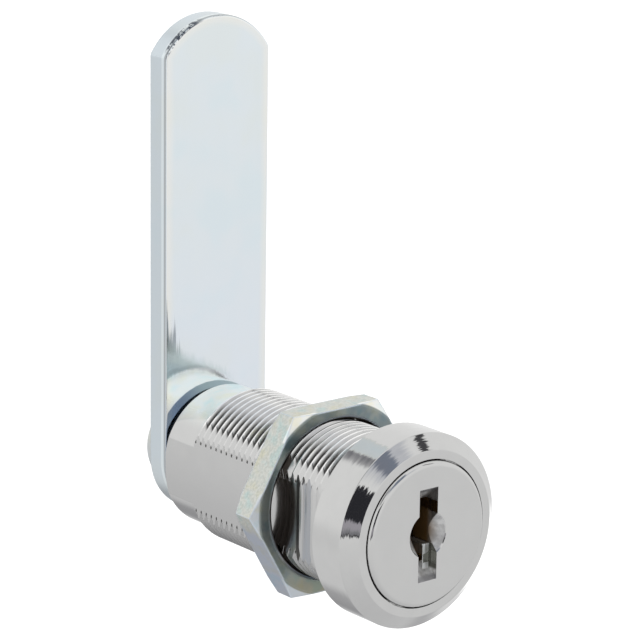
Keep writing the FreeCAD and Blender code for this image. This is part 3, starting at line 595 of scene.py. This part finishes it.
def make_cam_finish():
    """Glossy blue-white zinc plate over rolled steel, with sheared and burnished edges, and painted
    reflections of the barrel and along the front edge.
    """
    upper_plate, lower_plate = colour(0.805, 0.86, 0.92), colour(0.80, 0.86, 0.895)
    pale_rim_reflection, wall_grey = colour(0.87, 0.885, 0.875), colour(0.66, 0.725, 0.77)
    burnished, reflected_teal = colour(0.79, 0.855, 0.885), colour(0.56, 0.67, 0.70)
    reflected_dark_streak, dark_edge_reflection = colour(0.36, 0.40, 0.44), colour(0.20, 0.21, 0.22)
    ragged_dark_reflection = colour(0.10, 0.115, 0.14)

    material, n, shader = new_metal("cam_plate")
    point, x, y, z, radius = lathe_place(n)
    edges = place_group(n, worn_edges, {"Radius": 0.16})
    plate = place_group(n, plate_clouds, {"Cloud Size": 9.0, "Strength": 0.22, "Spot Size": 0.5})

    above = n.maths("MAXIMUM", n.maths("SUBTRACT", z, TIP_CENTRE), 0.0)
    under = n.maths("MINIMUM", z, 0.0)
    off_tip = n.maths("SUBTRACT", TIP_RADIUS, n.distance(x, above))
    off_foot = n.maths("SUBTRACT", CAM_HALF, n.distance(x, under))
    rim = n.maths("MINIMUM", off_tip, off_foot)
    front = n.below(y, *FRONT_FACE)
    wall = n.below(rim, *WALL_REACH)
    cream = n.both(front, n.below(rim, *CREAM_REACH))
    lean = n.noise(n.vector("MULTIPLY", point, (1.1, 1.0, 0.05)), 1.0, 2.0)
    shear = n.maths("MULTIPLY_ADD", lean, 0.5, y)
    burnish = n.both(wall, n.below(shear, *BURNISH_DEPTH))
    ragged = n.noise(n.vector("MULTIPLY", point, (1.4, 1.4, 1.4)), 1.0, 3.0, 0.65)
    shoulder = n.both(n.between(x, *MARKS_LEFT), n.below(x, *MARKS_RIGHT), n.between(z, *MARKS_START))
    ragged_marks = n.both(shoulder, n.below(rim, *MARKS_REACH), n.between(ragged, 0.44, 0.5),
                  n.below(y, *MARKS_DEPTH))
    crease = n.both(n.below(rim, *CREASE_REACH), n.between(y, *CREASE_FRONT),
                    n.below(y, *CREASE_REAR))
    streak = n.noise(n.vector("MULTIPLY", point, (3.2, 1.0, 0.09)), 1.0, 3.0, 0.6)
    # Teal patch with dark streaks on the lower front, round the barrel: painted reflection of the
    # barrel and of its shadow.
    reach = n.sway(streak, 0.3, n.between(x, *STREAK_SIDE, 17.0, 2.0))
    reflection_top = n.maths("ADD", n.maths("MULTIPLY_ADD", x, REFLECTION_SLOPE, REFLECTION_HEIGHT), reach)
    off_reflection = n.distance(n.maths("SUBTRACT", x, REFLECTION_CENTRE[0]),
                          n.maths("SUBTRACT", z, REFLECTION_CENTRE[1]))
    barrel_reflection = n.both(front, n.below(n.maths("SUBTRACT", z, reflection_top), *REFLECTION_EDGE),
                  n.between(off_reflection, *REFLECTION_REACH), n.below(x, *REFLECTION_SIDE))

    # The plate is painted a little bluer towards the top: a painted gradient of reflected light.
    tone = n.blend(n.below(z, *BLUE_HEIGHT), lower_plate, upper_plate)
    # A pale cream band just inside the front's outline: painted reflection, running round the barrel
    # at the foot.
    tone = n.blend(cream, tone, pale_rim_reflection)
    tone = n.blend(wall, tone, wall_grey)
    tone = n.blend(burnish, tone, burnished)
    tone = n.blend(barrel_reflection, tone, n.blend(n.between(z, *REFLECTION_GREY), reflected_teal, reflected_dark_streak))
    tone = n.blend(1.0, tone, plate["Tint"], "MULTIPLY")
    # A thin dark line along the rolled front edge: painted dark reflection.
    tone = n.blend(n.maths("MULTIPLY", crease, 0.55), tone, dark_edge_reflection)
    # Ragged near-black marks along the upper left front edge: painted dark reflection of the rolled
    # edge.
    n.set(shader["Base Color"], n.blend(ragged_marks, tone, ragged_dark_reflection))

    rough = n.maths("MULTIPLY_ADD", wall, 0.18, 0.09)
    n.set(shader["Roughness"], n.maths("MULTIPLY_ADD", plate["Spots"], 0.04, rough))
    n.set(shader["Normal"], tilt_normal(
        n, edges["Normal"], ((0.0, 0.0, 1.0), n.sway(streak, 0.5, 0.05)),
        ((1.0, 0.0, 0.0), n.sway(n.noise(point, 0.22, 1.0), 0.5, 0.02))))
    return material


def make_nut_finish():
    """Satin zinc plate with straw clouds, a dull face, painted highlights and shade on its edges and
    corners, and a thread painted near black as shade in the bore.
    """
    dull_plate, bright_plate = colour(0.56, 0.58, 0.54), colour(0.70, 0.71, 0.67)
    shaded_low_side, painted_bore_shade = colour(0.50, 0.54, 0.62), colour(0.11, 0.095, 0.085)
    blue_stain, straw_stain = colour(0.22, 0.265, 0.28), colour(0.32, 0.35, 0.33)
    lower_face_brown, painted_edge_highlight = colour(0.32, 0.30, 0.22), colour(0.80, 0.88, 0.98)
    shaded_low_corner, lit_high_corner = colour(0.64, 0.68, 0.72), colour(0.92, 0.93, 0.91)

    material, n, shader = new_metal("nut_plate")
    point, x, y, z, radius = lathe_place(n)
    edges = place_group(n, worn_edges, {"Radius": 0.32})
    plate = place_group(n, plate_clouds, {"Cloud Size": 2.2, "Strength": 1.0, "Spot Size": 0.3})

    face = n.below(y, *NUT_FRONT)
    bore = n.both(n.below(radius, *BORE_REACH), n.between(y, *BORE_START))
    corner = n.both(n.between(radius, *CORNER_REACH), n.below(y, *CORNER_DEPTH))

    tone = n.blend(n.between(plate["Spots"], 0.3, 0.7), dull_plate, bright_plate)
    # The lower sides are painted darker and bluer: painted shade.
    tone = n.blend(n.below(z, *LOW_SIDES), tone, shaded_low_side)
    stained = n.blend(n.between(n.noise(point, 0.35, 3.0), 0.4, 0.6), blue_stain, straw_stain)
    # The face turns darker and browner towards the bottom.
    stained = n.blend(n.between(z, *LOWEST_FACE, 0.7, 0.0), stained, lower_face_brown)
    # Corners are painted near white at the top and darker below: painted highlight and shade.
    tone = n.blend(corner, tone, n.blend(n.between(z, *CORNER_HEIGHT), shaded_low_corner, lit_high_corner))
    tone = n.blend(1.0, n.blend(face, tone, stained), plate["Tint"], "MULTIPLY")
    # Light blue along the edges: painted highlight.
    tone = n.blend(n.maths("MULTIPLY", edges["Edge"], 0.8), tone, painted_edge_highlight)
    # Inside the bore the thread is painted near black: painted shade.
    n.set(shader["Base Color"], n.blend(bore, tone, painted_bore_shade))
    n.set(shader["Roughness"], n.maths("MULTIPLY_ADD", plate["Spots"], 0.16, 0.26))
    grain = n.add("ShaderNodeBump", {"Strength": 0.35, "Distance": 0.02 * MM,
                                     "Height": plate["Spots"], "Normal": edges["Normal"]})
    n.set(shader["Normal"], grain.outputs["Normal"])
    return material


def make_small_finish(name, first, second, roughness):
    """Metal of a small part, plated or bare, with fine spotting."""
    material, n, shader = new_metal(name)
    edges = place_group(n, worn_edges, {"Radius": 0.1})
    plate = place_group(n, plate_clouds, {"Cloud Size": 3.0, "Strength": 0.5, "Spot Size": 0.25})
    tone = n.blend(plate["Spots"], colour(*first), colour(*second))
    n.set(shader["Base Color"], n.blend(1.0, tone, plate["Tint"], "MULTIPLY"))
    n.set(shader["Roughness"], n.maths("MULTIPLY_ADD", plate["Spots"], 0.12, roughness))
    n.set(shader["Normal"], edges["Normal"])
    return material


def dress(node, material):
    mesh = nodes[node].data
    mesh.materials.clear()
    mesh.materials.append(material)


make_camera()
make_world()
make_floor()

worn_edges = make_worn_edges()
polish_lines = make_polish_lines()
plate_clouds = make_plate_clouds()
finishes = {
    "chrome_casting": make_casting_finish(),
    "chrome_plug": make_plug_finish(),
    "cam_plate": make_cam_finish(),
    "nut_plate": make_nut_finish(),
    "zinc_plate": make_small_finish("zinc_plate", (0.60, 0.63, 0.65), (0.68, 0.71, 0.72), 0.26),
    "spring_steel": make_small_finish("spring_steel", (0.36, 0.36, 0.37), (0.46, 0.46, 0.47), 0.28),
    # Brass darkened to a deep brown: brass tone with painted shade of the wafers inside the lock.
    "wafer_brass": make_small_finish("wafer_brass", (0.26, 0.16, 0.06), (0.34, 0.22, 0.10), 0.34),
}
for part in record["subparts"]:
    dress(part["node"], finishes[part["material_slot"]])

bpy.context.scene.view_settings.view_transform = "Standard"
